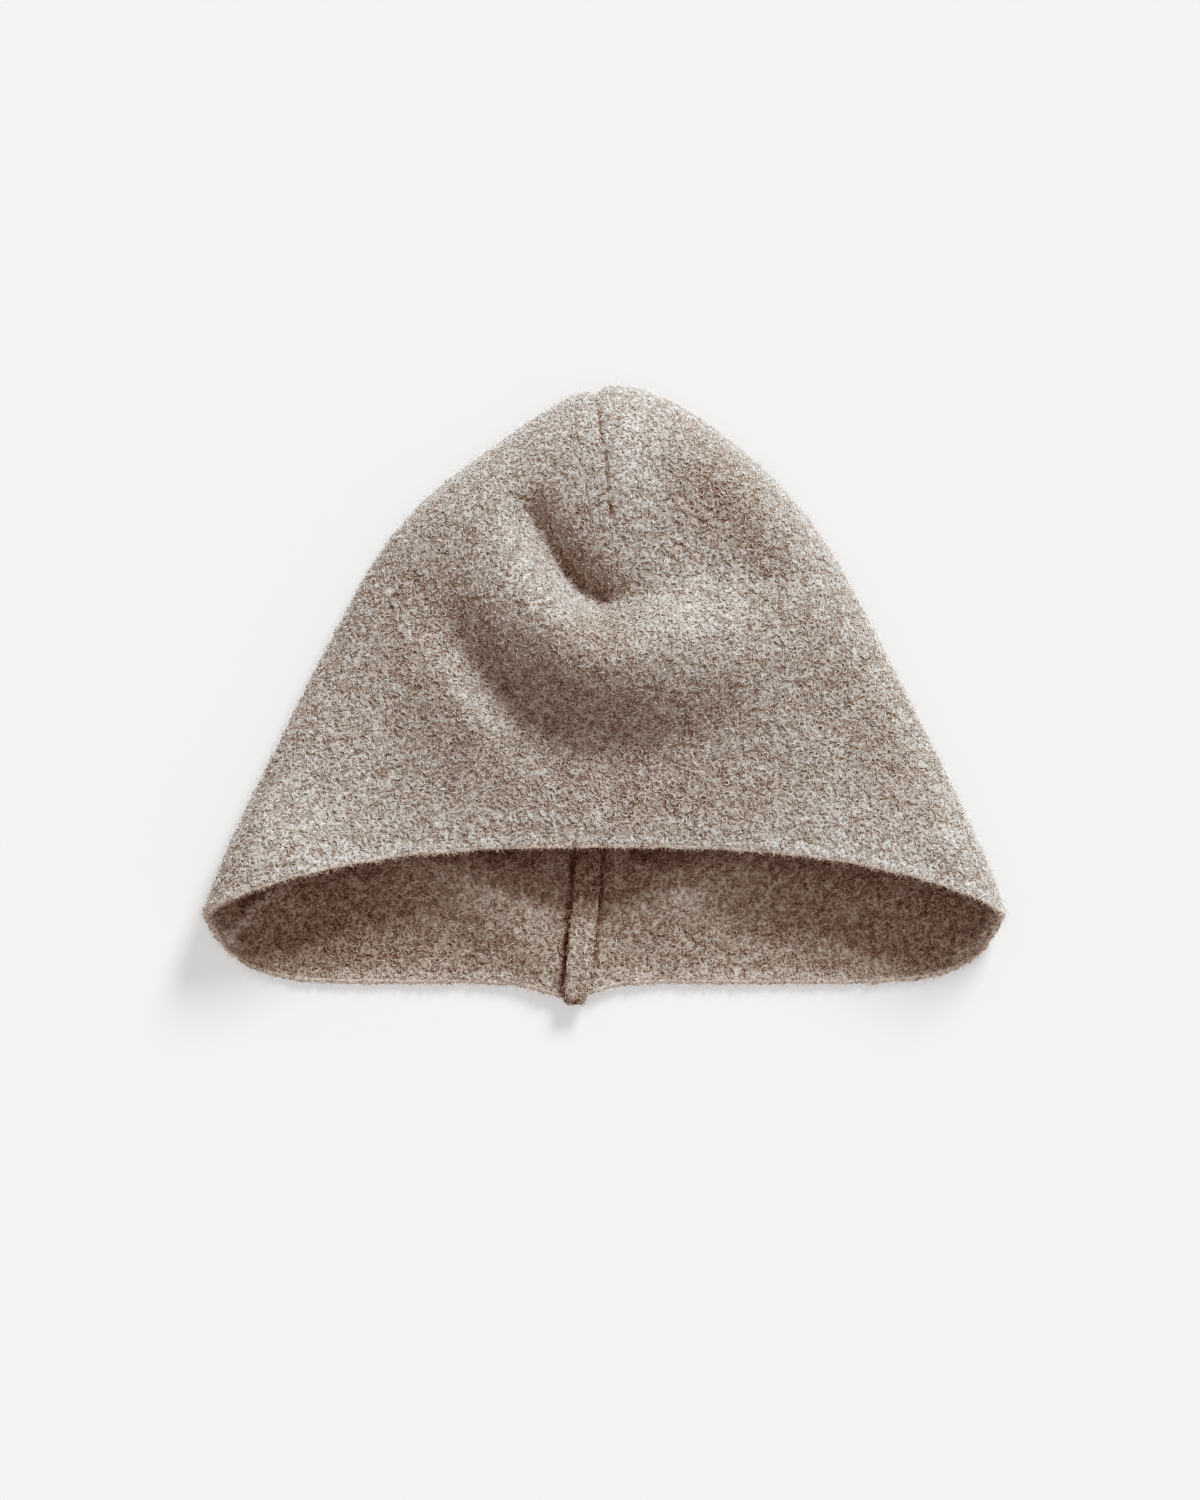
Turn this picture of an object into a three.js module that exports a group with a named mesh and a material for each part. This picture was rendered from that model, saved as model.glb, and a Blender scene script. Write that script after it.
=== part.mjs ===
// Earflap beanie of boiled bouclé wool, lying flat on its back panel.
//
// Frame, in millimetres: Z is up from the surface that the hat lies on, Y runs from the open hem to the
// crown, X runs to the right. The origin is under the middle of the hat.
//
// The body is one wall of knitted cloth, described by the surface half way through it. A line across the
// hat at a height Y is a flat loop: the back panel lies on the surface, the front panel stands over it, and
// a round fold joins them at each side. Folds and swells then give the front its crushed crown.

import * as THREE from 'three';

// Driving sizes
const WALL = 3.2; // thickness of the felted knit
const TOP = 113.9; // crown edge of the middle surface
const CORNER = -82.5; // where the front hem meets the back hem, at the side folds
const FRONT_HEM = -57; // front hem at the middle of the forehead
const BACK_HEM = -108; // back hem
// late: how long a hem runs straight before it turns into its corner, round: how round it ends there
const FRONT_HEM_TURN = { late: 2.6, round: 0.8 };
const BACK_HEM_TURN = { late: 11, round: 0.75 };
const LAYER_GAP = 0.45; // between the body and a layer inside it, enough for its flat facets

// The hem is drawn out where the back seam ends
const SEAM_END = { x: -13, drop: 6.2, breadth: 12 };

// Sections of the body, from the hem to the crown
// centre: middle of the section, halfWidth: to its side folds, edge: height of the side folds,
// shoulder: height of the front beside them, middle: height of the front along the centre line,
// round: breadth over which a side fold turns into the panels
const SECTIONS = [
  { y: -120, centre: 0, halfWidth: 156.5, edge: 14, shoulder: 28, middle: 20, round: 13 },
  { y: -83, centre: 0, halfWidth: 148.5, edge: 13.6, shoulder: 27.6, middle: 20, round: 13 },
  { y: -57, centre: 0, halfWidth: 139, edge: 12.9, shoulder: 25.5, middle: 20.5, round: 13.4 },
  { y: -39, centre: 0, halfWidth: 130.4, edge: 12.2, shoulder: 21.5, middle: 23, round: 13.6 },
  { y: -2, centre: 0, halfWidth: 112.2, edge: 11, shoulder: 19.5, middle: 28.7, round: 14 },
  { y: 35, centre: 0, halfWidth: 92.8, edge: 10.5, shoulder: 21.5, middle: 30.8, round: 15 },
  { y: 50, centre: 0.2, halfWidth: 84.6, edge: 10.3, shoulder: 24, middle: 30, round: 15.4 },
  { y: 65, centre: 0.6, halfWidth: 73.8, edge: 10.1, shoulder: 26, middle: 31.5, round: 15.8 },
  { y: 80, centre: 1.0, halfWidth: 60.2, edge: 10, shoulder: 28, middle: 33, round: 16.2 },
  { y: 94.5, centre: 1.5, halfWidth: 43, edge: 9.6, shoulder: 28, middle: 32, round: 17 },
  { y: 106, centre: 2.2, halfWidth: 25.5, edge: 9.3, shoulder: 25, middle: 29, round: 17.6 },
  { y: 111.5, centre: 2.5, halfWidth: 13.6, edge: 9.1, shoulder: 22, middle: 26, round: 18 },
  { y: TOP, centre: 2.5, halfWidth: 0, edge: 9, shoulder: 20, middle: 25, round: 18 },
];
const ARCH_POWER = 1.3; // how narrow the arch of the front is, from side to side

// Folds of the crushed crown: each follows a smooth line, with a height there and the breadth of its slope
// towards the crown and towards the hem
const FOLDS = [
  {
    name: 'crescent ridge',
    power: 2.6,
    line: [
      { x: -48.5, y: 82, height: 0, crown: 11, hem: 24 },
      { x: -40.5, y: 64, height: 5, crown: 11, hem: 27 },
      { x: -29, y: 47, height: 12, crown: 11, hem: 31 },
      { x: -17.5, y: 32, height: 16.5, crown: 9, hem: 31 },
      { x: -4, y: 23.5, height: 16, crown: 10, hem: 29 },
      { x: 11, y: 21, height: 15.5, crown: 10, hem: 28 },
      { x: 27.5, y: 21, height: 13, crown: 12, hem: 29 },
      { x: 48, y: 22.5, height: 9, crown: 13, hem: 27 },
      { x: 70.5, y: 26, height: 4, crown: 13, hem: 24 },
      { x: 88, y: 28, height: 1, crown: 13, hem: 22 },
    ],
  },
  {
    name: 'crease',
    power: 2,
    line: [
      { x: -31, y: 75, height: 0, crown: 6, hem: 7 },
      { x: -28, y: 67, height: -6, crown: 6.5, hem: 8 },
      { x: -21, y: 53, height: -12, crown: 7, hem: 8 },
      { x: -12.5, y: 39.5, height: -16.5, crown: 8, hem: 7.5 },
      { x: -1, y: 31, height: -16.5, crown: 8.5, hem: 7 },
      { x: 9, y: 32, height: -8, crown: 9, hem: 8 },
      { x: 19.5, y: 34, height: -2, crown: 9, hem: 8 },
      { x: 32.5, y: 38, height: 0, crown: 9, hem: 8 },
    ],
  },
  {
    name: 'outer valley',
    power: 1.7,
    line: [
      { x: -62, y: 42.5, height: 0, crown: 8, hem: 12 },
      { x: -51.5, y: 22, height: -3.5, crown: 8, hem: 13 },
      { x: -37.5, y: 3.5, height: -5.5, crown: 9, hem: 11 },
      { x: -20, y: -10, height: -6, crown: 10, hem: 12 },
      { x: -1.5, y: -18, height: -4, crown: 11, hem: 16 },
      { x: 19, y: -17.5, height: -3.5, crown: 12, hem: 16 },
      { x: 41, y: -10, height: -2, crown: 12, hem: 16 },
      { x: 61.5, y: 0, height: 0, crown: 12, hem: 16 },
    ],
  },
];
const FOLD_STEPS = 8; // straight steps between two points of a fold's line

// Round swells, across and along their own turned axes
const FRONT_SWELLS = [
  { name: 'dart pad', x: 7, y: 79, height: 1, across: 9.5, along: 26, turn: 0 },
  { name: 'right shoulder', x: 69, y: 63, height: 5.5, across: 20, along: 37, turn: 25 },
  { name: 'valley bank', x: -55.5, y: 2, height: 4, across: 9.5, along: 24, turn: 45 },
  { name: 'left flank', x: -65, y: -5, height: 2, across: 12, along: 24, turn: 45 },
  { name: 'right flank', x: 95.5, y: -2, height: 1.5, across: 13, along: 16, turn: 20 },
  { name: 'under the valley', x: -46, y: -17.5, height: 2, across: 13, along: 13, turn: 0 },
  { name: 'left corner', x: -115, y: -60, height: 2, across: 15, along: 15, turn: 0 },
];
const BACK_SWELLS = [
  { name: 'left of the seam', x: -46, y: -69.5, height: 12, across: 12.5, along: 33, turn: 49 },
  { name: 'right of the seam', x: 31, y: -69, height: 10.5, across: 13, along: 28, turn: -57 },
  { name: 'seam end', x: -12, y: -112, height: 1.8, across: 15, along: 9, turn: 0 },
];

// Pieces inside the body: the middle line and width of each, from its lower to its upper end, and the
// longest step of its mesh
const BACK_SEAM = {
  thickness: 2.6,
  step: 9,
  rows: [
    { y: -115.5, x: -11.2, halfWidth: 3.2 },
    { y: -113, x: -11, halfWidth: 4.9 },
    { y: -108, x: -10.4, halfWidth: 5.2 },
    { y: -57, x: -5.8, halfWidth: 5.2 },
    { y: 20, x: -4.6, halfWidth: 5.2 },
    { y: 82, x: -4.4, halfWidth: 5.2 },
    { y: 92, x: -4.4, halfWidth: 4.4 },
  ],
};
const DART_TUCK = {
  thickness: 2,
  step: 5,
  rows: [
    { y: 61, x: 8, halfWidth: 4 },
    { y: 64, x: 8.5, halfWidth: 6.5 },
    { y: 78, x: 10, halfWidth: 9 },
    { y: 92, x: 10.5, halfWidth: 9.5 },
    { y: 96, x: 10.5, halfWidth: 8.5 },
  ],
};

// Mesh steps
const FRONT_COLUMNS = 54;
const BACK_COLUMNS = 34;
const ROWS = 28;
const FRONT_SPACING = 1; // at the middle, against an even spread
const BACK_SPACING = 0.8;
const ROW_POWER = 1.7; // rows crowd towards the crown
const LAYER_COLUMNS = 6;
const RIM_THICKNESS = 0.6; // of a layer's thickness, where its rim is worn thin
const NEARBY = 0.001; // step to a neighbouring point when a slope is measured, in shares of the mesh
const HALVINGS = 40; // of the interval in which a crossing is sought

const WOOL = { color: 0xb0a69e, roughness: 0.95, metalness: 0 };
const WOOL_INSIDE = { color: 0x94867c, roughness: 0.95, metalness: 0 };

// Value of one column of a table at a place, on a smooth curve without overshoot
function smoothValue(rows, at, key, place = 'y') {
  const last = rows.length - 1;
  const x = THREE.MathUtils.clamp(at, rows[0][place], rows[last][place]);
  let i = 0;
  while (i < last - 1 && x > rows[i + 1][place]) i += 1;
  const step = (k) => rows[k + 1][place] - rows[k][place];
  const slope = (k) => (rows[k + 1][key] - rows[k][key]) / step(k);
  const tangent = (k) => {
    if (k === 0) return slope(0);
    if (k === last) return slope(last - 1);
    const before = slope(k - 1);
    const after = slope(k);
    if (before * after <= 0) return 0;
    const a = 2 * step(k) + step(k - 1);
    const b = step(k) + 2 * step(k - 1);
    return (a + b) / (a / before + b / after);
  };
  const h = step(i);
  const t = (x - rows[i][place]) / h;
  const u = 1 - t;
  return (1 + 2 * t) * u * u * rows[i][key] + t * u * u * h * tangent(i)
    + t * t * (3 - 2 * t) * rows[i + 1][key] - t * t * u * h * tangent(i + 1);
}

// The half width follows the square root of the distance from the crown, so the crown edge is round
const WIDTHS = SECTIONS.map(({ y, halfWidth }) => ({ root: Math.sqrt(TOP - y), halfWidth })).reverse();

function halfWidth(y) {
  return smoothValue(WIDTHS, Math.sqrt(Math.max(TOP - y, 0)), 'halfWidth', 'root');
}

// Where a falling function crosses zero between two heights
function crossing(low, high, value) {
  for (let i = 0; i < HALVINGS; i += 1) {
    const middle = (low + high) / 2;
    if (value(middle) > 0) low = middle;
    else high = middle;
  }
  return (low + high) / 2;
}

// Height Y of the body's outline at a distance from its centre line
function outlineOver(side) {
  return crossing(SECTIONS[0].y, TOP, (y) => halfWidth(y) - side);
}

const CORNER_SIDE = halfWidth(CORNER);

function hemHeight(x, isFront) {
  const side = Math.min(Math.abs(x) / CORNER_SIDE, 1);
  const turned = ({ late, round }) => 1 - (1 - side ** late) ** round;
  if (isFront) return FRONT_HEM + (CORNER - FRONT_HEM) * turned(FRONT_HEM_TURN);
  const drawn = Math.exp(-(((x - SEAM_END.x) / SEAM_END.breadth) ** 2));
  return BACK_HEM + (CORNER - BACK_HEM) * turned(BACK_HEM_TURN) - SEAM_END.drop * drawn;
}

// Points along a fold's line, on a Catmull-Rom curve through its rows
function foldSteps({ line }) {
  const keys = Object.keys(line[0]);
  const row = (i) => line[THREE.MathUtils.clamp(i, 0, line.length - 1)];
  const steps = [];
  for (let i = 0; i < line.length - 1; i += 1) {
    for (let k = 0; k < FOLD_STEPS; k += 1) {
      const t = k / FOLD_STEPS;
      const point = {};
      for (const key of keys) {
        const [a, b, c, d] = [row(i - 1)[key], row(i)[key], row(i + 1)[key], row(i + 2)[key]];
        point[key] = b + 0.5 * t * (c - a + t * (2 * a - 5 * b + 4 * c - d + t * (3 * b - 3 * c + d - a)));
      }
      steps.push(point);
    }
  }
  return [...steps, line[line.length - 1]];
}

const FOLD_LINES = FOLDS.map((fold) => ({ power: fold.power, steps: foldSteps(fold) }));

function foldHeight(x, y, { power, steps }) {
  let nearest = Infinity;
  let height = 0;
  for (let i = 0; i < steps.length - 1; i += 1) {
    const [a, b] = [steps[i], steps[i + 1]];
    const [dx, dy] = [b.x - a.x, b.y - a.y];
    const t = THREE.MathUtils.clamp(((x - a.x) * dx + (y - a.y) * dy) / (dx * dx + dy * dy), 0, 1);
    const [ex, ey] = [x - a.x - t * dx, y - a.y - t * dy];
    const distance = Math.hypot(ex, ey);
    if (distance < nearest) {
      nearest = distance;
      const side = dx * ey - dy * ex > 0 ? 'crown' : 'hem';
      const [breadth, peak] = [side, 'height'].map((key) => a[key] + t * (b[key] - a[key]));
      height = peak * Math.exp(-((distance / breadth) ** power));
    }
  }
  return height;
}

function swellHeight(x, y, swell) {
  const turn = THREE.MathUtils.degToRad(swell.turn);
  const [dx, dy] = [x - swell.x, y - swell.y];
  const across = (dx * Math.cos(turn) + dy * Math.sin(turn)) / swell.across;
  const along = (dy * Math.cos(turn) - dx * Math.sin(turn)) / swell.along;
  return swell.height * Math.exp(-across * across - along * along);
}

const total = (values) => values.reduce((sum, value) => sum + value, 0);

// Height of the middle surface of one panel
function panelHeight(x, y, isFront) {
  const half = halfWidth(y);
  const side = Math.abs(x - smoothValue(SECTIONS, y, 'centre'));
  const inwards = Math.max(half - side, 0);
  const below = Math.max(outlineOver(side) - y, 0);
  const edge = smoothValue(SECTIONS, y, 'edge');
  if (inwards * below === 0) return edge;
  const depth = (inwards * below) / Math.hypot(inwards, below);
  const flat = Math.min(depth / smoothValue(SECTIONS, y, 'round'), 1);
  const rise = Math.sqrt(1 - (1 - flat) ** 2);
  if (!isFront) {
    return edge + rise * (WALL / 2 + total(BACK_SWELLS.map((swell) => swellHeight(x, y, swell))) - edge);
  }
  const shoulder = smoothValue(SECTIONS, y, 'shoulder');
  const arch = Math.cos((Math.min(side / half, 1) * Math.PI) / 2) ** ARCH_POWER;
  const plain = shoulder + (smoothValue(SECTIONS, y, 'middle') - shoulder) * arch;
  const folds = total(FOLD_LINES.map((fold) => foldHeight(x, y, fold)));
  return edge + rise * (plain + folds + total(FRONT_SWELLS.map((swell) => swellHeight(x, y, swell))) - edge);
}

// Column places from -1 to 1 that crowd towards the side folds, and by their spacing at the middle
function spread(across, spacing) {
  return spacing * across + (2.5 - 2 * spacing) * across ** 3 + (spacing - 1.5) * across ** 5;
}

// A point of the middle surface. around: 0 to 2 over the front from left to right, 2 to 4 back over the
// back panel. up: 0 at the hem, 1 at the crown.
function bodyPoint(around, up) {
  const turn = ((around % 4) + 4) % 4;
  const isFront = turn <= 2;
  const across = isFront ? turn - 1 : 3 - turn;
  const side = spread(across, isFront ? FRONT_SPACING : BACK_SPACING);
  const placeX = (y) => smoothValue(SECTIONS, y, 'centre') + halfWidth(y) * side;
  const hem = crossing(SECTIONS[0].y, TOP, (y) => hemHeight(placeX(y), isFront) - y);
  const y = TOP - (TOP - hem) * (1 - Math.min(up, 1)) ** ROW_POWER;
  const x = placeX(y);
  return new THREE.Vector3(x, y, panelHeight(x, y, isFront));
}

// Unit direction out of the cloth at a point of the middle surface
function bodyNormal(around, up) {
  const lower = Math.max(up - NEARBY, 0);
  const alongLoop = bodyPoint(around + NEARBY, up).sub(bodyPoint(around - NEARBY, up));
  const alongRow = bodyPoint(around, up + NEARBY).sub(bodyPoint(around, lower));
  return alongLoop.cross(alongRow).normalize();
}

// A closed solid from vertices and triangles, in millimetres
function solid(name, vertices, triangles, look) {
  const positions = vertices.flatMap((vertex) => vertex.toArray());
  const geometry = new THREE.BufferGeometry();
  geometry.setAttribute('position', new THREE.Float32BufferAttribute(positions, 3));
  geometry.setIndex(triangles.flat());
  geometry.computeVertexNormals();
  const mesh = new THREE.Mesh(geometry, new THREE.MeshStandardMaterial(look));
  mesh.name = name;
  return mesh;
}

// The body: an outer and an inner skin, each a loop of columns closed by one point at the crown, joined
// along the hem
function makeShell() {
  const columns = FRONT_COLUMNS + BACK_COLUMNS;
  const around = (i) => {
    const onBack = i - FRONT_COLUMNS;
    return onBack < 0 ? (2 * i) / FRONT_COLUMNS : 2 + (2 * onBack) / BACK_COLUMNS;
  };
  const vertices = [];
  for (const offset of [WALL / 2, -WALL / 2]) {
    for (let j = 0; j < ROWS; j += 1) {
      for (let i = 0; i < columns; i += 1) {
        const point = bodyPoint(around(i), j / ROWS);
        vertices.push(point.addScaledVector(bodyNormal(around(i), j / ROWS), offset));
      }
    }
    const crown = bodyPoint(1, 1);
    crown.y += offset;
    vertices.push(crown);
  }
  const length = (i, k) => vertices[i].distanceTo(vertices[k]);
  const skin = columns * ROWS + 1;
  const triangles = [];
  for (const inner of [false, true]) {
    const start = inner ? skin : 0;
    const add = (...corners) => {
      const triangle = corners.map((corner) => start + corner);
      triangles.push(inner ? triangle.reverse() : triangle);
    };
    for (let i = 0; i < columns; i += 1) {
      const next = (i + 1) % columns;
      for (let j = 0; j < ROWS - 1; j += 1) {
        const [low, high] = [j * columns, (j + 1) * columns];
        const [a, b, c, d] = [low + i, low + next, high + next, high + i];
        // Each cell is split along its shorter diagonal, so that the folds stay smooth
        if (length(start + a, start + c) < length(start + b, start + d)) {
          add(a, b, c);
          add(a, c, d);
        } else {
          add(a, b, d);
          add(b, c, d);
        }
      }
      add((ROWS - 1) * columns + i, (ROWS - 1) * columns + next, skin - 1);
    }
  }
  for (let i = 0; i < columns; i += 1) {
    const next = (i + 1) % columns;
    triangles.push([i, skin + i, skin + next], [i, skin + next, next]);
  }
  return solid('shell', vertices, triangles, WOOL);
}

// Places along a table's rows, no further apart than the longest step
function stations(rows, longest) {
  const places = [rows[0].y];
  for (let k = 1; k < rows.length; k += 1) {
    const length = rows[k].y - rows[k - 1].y;
    const count = Math.ceil(length / longest);
    for (let i = 1; i <= count; i += 1) places.push(rows[k - 1].y + (length * i) / count);
  }
  return places;
}

// A flat layer of cloth inside the body, against its front or its back panel
function makeLayer(name, { thickness, step, rows }, isFront, look) {
  const inwards = isFront ? -1 : 1;
  const places = stations(rows, step);
  const steps = places.length - 1;
  const vertices = [];
  for (const face of [0, 1]) {
    for (let j = 0; j <= steps; j += 1) {
      const y = places[j];
      const centre = smoothValue(rows, y, 'x');
      const half = smoothValue(rows, y, 'halfWidth');
      for (let i = 0; i <= LAYER_COLUMNS; i += 1) {
        const side = (2 * i) / LAYER_COLUMNS - 1;
        const x = centre + half * side;
        const slopeX = (panelHeight(x + 1, y, isFront) - panelHeight(x - 1, y, isFront)) / 2;
        const slopeY = (panelHeight(x, y + 1, isFront) - panelHeight(x, y - 1, isFront)) / 2;
        const steep = Math.hypot(1, slopeX, slopeY);
        const isRim = i === 0 || i === LAYER_COLUMNS || j === 0 || j === steps;
        const depth = (WALL / 2 + LAYER_GAP + face * thickness * (isRim ? RIM_THICKNESS : 1)) * steep;
        vertices.push(new THREE.Vector3(x, y, panelHeight(x, y, isFront) + inwards * depth));
      }
    }
  }
  const width = LAYER_COLUMNS + 1;
  const skin = width * (steps + 1);
  const triangles = [];
  const add = (a, b, c) => triangles.push(isFront ? [a, b, c] : [a, c, b]);
  for (let j = 0; j < steps; j += 1) {
    for (let i = 0; i < LAYER_COLUMNS; i += 1) {
      const a = j * width + i;
      add(a, a + 1, a + width + 1);
      add(a, a + width + 1, a + width);
      add(skin + a, skin + a + width + 1, skin + a + 1);
      add(skin + a, skin + a + width, skin + a + width + 1);
    }
  }
  const rim = [];
  for (let i = 0; i < LAYER_COLUMNS; i += 1) rim.push(i);
  for (let j = 0; j < steps; j += 1) rim.push(j * width + LAYER_COLUMNS);
  for (let i = LAYER_COLUMNS; i > 0; i -= 1) rim.push(steps * width + i);
  for (let j = steps; j > 0; j -= 1) rim.push(j * width);
  rim.forEach((a, k) => {
    const b = rim[(k + 1) % rim.length];
    add(a, skin + a, skin + b);
    add(a, skin + b, b);
  });
  return solid(name, vertices, triangles, look);
}

const beanie = new THREE.Group();
beanie.add(makeShell());
beanie.add(makeLayer('back_seam', BACK_SEAM, false, WOOL_INSIDE));
beanie.add(makeLayer('dart_tuck', DART_TUCK, true, WOOL_INSIDE));

export default beanie;
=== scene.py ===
"""Earflap beanie of boiled boucle wool, lying flat on its back panel and seen from straight above.

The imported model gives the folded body. Its surface is refined here, split into outside, inside and cut
edge, and given the relief of the felted knit. Curled loops of yarn and loose fibres are then grown on it.
"""

import math
from collections import namedtuple
from itertools import product

import bmesh
import bpy
import numpy as np
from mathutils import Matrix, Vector, kdtree, noise


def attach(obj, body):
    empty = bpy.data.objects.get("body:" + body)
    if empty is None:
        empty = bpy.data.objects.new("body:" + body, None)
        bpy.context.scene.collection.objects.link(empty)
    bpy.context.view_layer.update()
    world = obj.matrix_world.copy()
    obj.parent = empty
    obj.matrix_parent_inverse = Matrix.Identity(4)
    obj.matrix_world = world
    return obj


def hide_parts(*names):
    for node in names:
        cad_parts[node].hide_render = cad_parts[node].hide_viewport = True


MM = 0.001
TINY = 1e-15  # added to a length that may be nothing before it divides

# Camera: straight above, far enough away to show hardly any perspective
CAMERA_DISTANCE = 3000 * MM
CAMERA_SENSOR = 36
CAMERA_REACH = 10
VIEW_HEIGHT = 556.5 * MM  # what the picture shows from top to bottom, at the height of the hat's outline
VIEW_CENTRE = (-1.67 * MM, -20.4 * MM)
OUTLINE_LEVEL = 12 * MM

# Light: a slightly soft key from the upper right, and an even white fill
KEY_AZIMUTH = math.radians(25.5)  # from +Y towards +X
KEY_ELEVATION = math.radians(31)
KEY_SOFTNESS = math.radians(18)
KEY_STRENGTH = 3.8
FILL_STRENGTH = 0.6
FLOOR_REACH = 2.5
FLOOR_WHITE = 0.4
FLOOR_GLOW = 0.44  # the floor is a lit table, which keeps the shadows light

# Contrast of the picture: lights keep this share of the scene's light, and darks lose more of it below the
# toe of each channel, which makes them deep and brown
SHOWN = 0.97
TOES = [(0.12, 0.9), (0.235, 1.2), (0.27, 1.3)]  # level and steepness for red, green and blue
TONE_STEPS = [0.02, 0.05, 0.09, 0.14, 0.2, 0.28, 0.38, 0.5, 0.65, 0.8]

# Surface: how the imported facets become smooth
WELD = 0.01 * MM
SHARP = math.radians(60)  # the two edges of the cut are sharper, and no other closed line is
JOIN_BEND = math.radians(50)  # two triangles join to a quad if they bend less and skew less than this
JOIN_SKEW = math.radians(60)
CUT_CREASE = 0.1
SUBDIVISIONS = 2

# Regions of the body, which are also its material slots
OUTSIDE, INSIDE, CUT_EDGE = range(3)

# Knit
WALL_INSET = 0.8 * MM  # the felted ground lies this far inside the solid, and the loops fill the rest
RIM_BAND = 2.6 * MM  # smooth band of felted wool along the cut edge
PEBBLE_SIZE = 3.1 * MM  # pitch of the loops
PEBBLE_REACH = 0.85  # a pebble ends at this share of the pitch
PEBBLE_HEIGHT = 0.4 * MM
PEBBLE_TONE = 0.04
RIM_PEBBLES = 0.4  # share of their height on the cut edge
RIM_WAVE = 0.5 * MM
RIM_WAVE_SIZE = 5 * MM
RIM_WAVE_REACH = 4 * MM
FRONT_FACING = -0.2  # the front runs round the side fold until it faces down this much

# The felt's own tone, and painted light that raises it: along the cut edge, round the outline where upright
# cloth is made pale, at the two corners of the hem, and further inside the hat under the front's shade
GROUND_TONE = 0.5
LIP_PAINTED_LIGHT = 0.08
LIP_WIDTH = 3 * MM
SIDE_PAINTED_LIGHT = 0.36
SIDE_FACING = (0.05, 0.55)  # full on upright cloth, and gone where it faces up or down this much
CORNERS = [(-141, -88), (145, -86)]
CORNER_PAINTED_LIGHT = 0.15
CORNER_WIDTH = 6 * MM
DEEP_PAINTED_LIGHT = 0.1
DEEP_FROM, DEEP_TO = -95 * MM, -70 * MM

# Stitched lines of the outside, as points X, Y on the front and on the back panel
DART_LINE = [(-4.2, 114.5), (-3.6, 110), (-1.6, 96), (0.1, 86), (1.2, 76), (1.8, 66)]
BACK_LINE = [(-4.4, 114.5), (-4.4, 82), (-4.6, 20), (-5.8, -57), (-10.4, -108), (-11.2, -118)]

# And of the inner side, along both edges of the seam allowance
SEAM_LEFT = [(-10, -30), (-11, -57), (-15.7, -108), (-16.2, -113)]
SEAM_RIGHT = [(0.3, -30), (-0.5, -57), (-5.1, -108), (-6, -113)]

# Their grooves: depth, half width and how much painted shade darkens them
DART_GROOVE = (0.8 * MM, 0.9 * MM, 0.28)
BACK_GROOVE = (0.9 * MM, 1 * MM, 0.2)
SEAM_GROOVE = (0.7 * MM, 1 * MM, 0.3)
STITCH_SIZE = 4 * MM
STITCH_MEAN, STITCH_LEAST = 0.75, 0.2  # a groove's strength along its line, as a share
NOTCH = (-4, 114.5)  # where the seam meets the dart at the crown
NOTCH_DEPTH = 2.4 * MM
NOTCH_WIDTH = 2.4 * MM

# Ridges of the inner side: half width, height, how much painted light makes them paler, and their lines
RIDGES = [
    # the small fold that runs along the left corner
    (1.9 * MM, 3.6 * MM, 0.28, [(-120.4, -70.1), (-129.5, -78), (-139.3, -88.7), (-141.9, -94.6)]),
    # the rolled hem at the left and at the right corner
    (2 * MM, 1.5 * MM, 0.12, [(-146.5, -84), (-140, -92), (-130, -98.5)]),
    (3.5 * MM, 3 * MM, 0.12, [(146, -83.5), (141.5, -90.5), (133, -97.5)]),
]

# Painted light and shade of the folds, as paler and darker spots: X, Y, tone, breadth across and along, and
# their turn
FRONT_PAINTED_SHADING = [
    (11, 82, 0.11, 10, 24, 0),
    (95, -62, 0.08, 28, 12, -15),
    (-95, -62, 0.03, 25, 12, 15),
    (44, 79, -0.14, 13, 31, 52),
    (-2, 24, -0.15, 13, 9, 0),
    (55, 35, -0.07, 13, 8, 0),
    (-67, 18, -0.08, 14, 22, 40),
    (10, -36, -0.1, 45, 12, 0),
    (99, -12, -0.09, 11, 38, 30),
]
INSIDE_PAINTED_SHADING = [
    (-93, -97, -0.11, 32, 10, 0),
    (-35, -68, -0.07, 9, 14, -25),
    (12, -66, -0.08, 7, 12, 15),
    (-92, -78, -0.05, 25, 12, 0),
    (0, -64, 0.07, 60, 8, 0),
]

# Places where the front lifts off further: X, Y, height, and breadth across and along
LIFTS = [
    (-8, -57, 2.5, 35, 25),
    (-112, -70, 2.5, 22, 20),
]
FRONT_FROM, FRONT_TO = 14 * MM, 17 * MM  # heights between which the lower half of the hat ends

# The left side of the crown stands a little further in: X, Y, breadth across and along, and turn
CROWN_SIDE = (-40, 96, 20, 34, -52)
CROWN_SHIFT = (2.3 * MM, -2.3 * MM)

# Patterns of the wool
FIBRE_SIZE = 0.75 * MM
PATCH_SIZE = 14 * MM
CURLS = (2.7 * MM, 0.36, 0.16)  # pitch of the curled yarn, and radius and breadth of a ring in shares of it
CURL_LIGHT = 0.9  # how bright a ring is beside a strand
STRAND_SIZES = (1.5 * MM, 1.05 * MM)
STRAND_LEVEL = 0.5  # of the noise that the strands follow, its middle value
STRAND_WIDTH = 0.07  # in the same noise
STRAND_BEND = 0.6
FIBRE_BEND = 1

# Each pattern's middle value, and its weight in the tone
PATCHES = (0.5, 0.06)
YARN = (0.55, 0.34)
FIBRES = (0.5, 1.1)
PEBBLES = (0.4, -0.09)
PLAIN_FIBRES = (0.5, 1)

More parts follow.
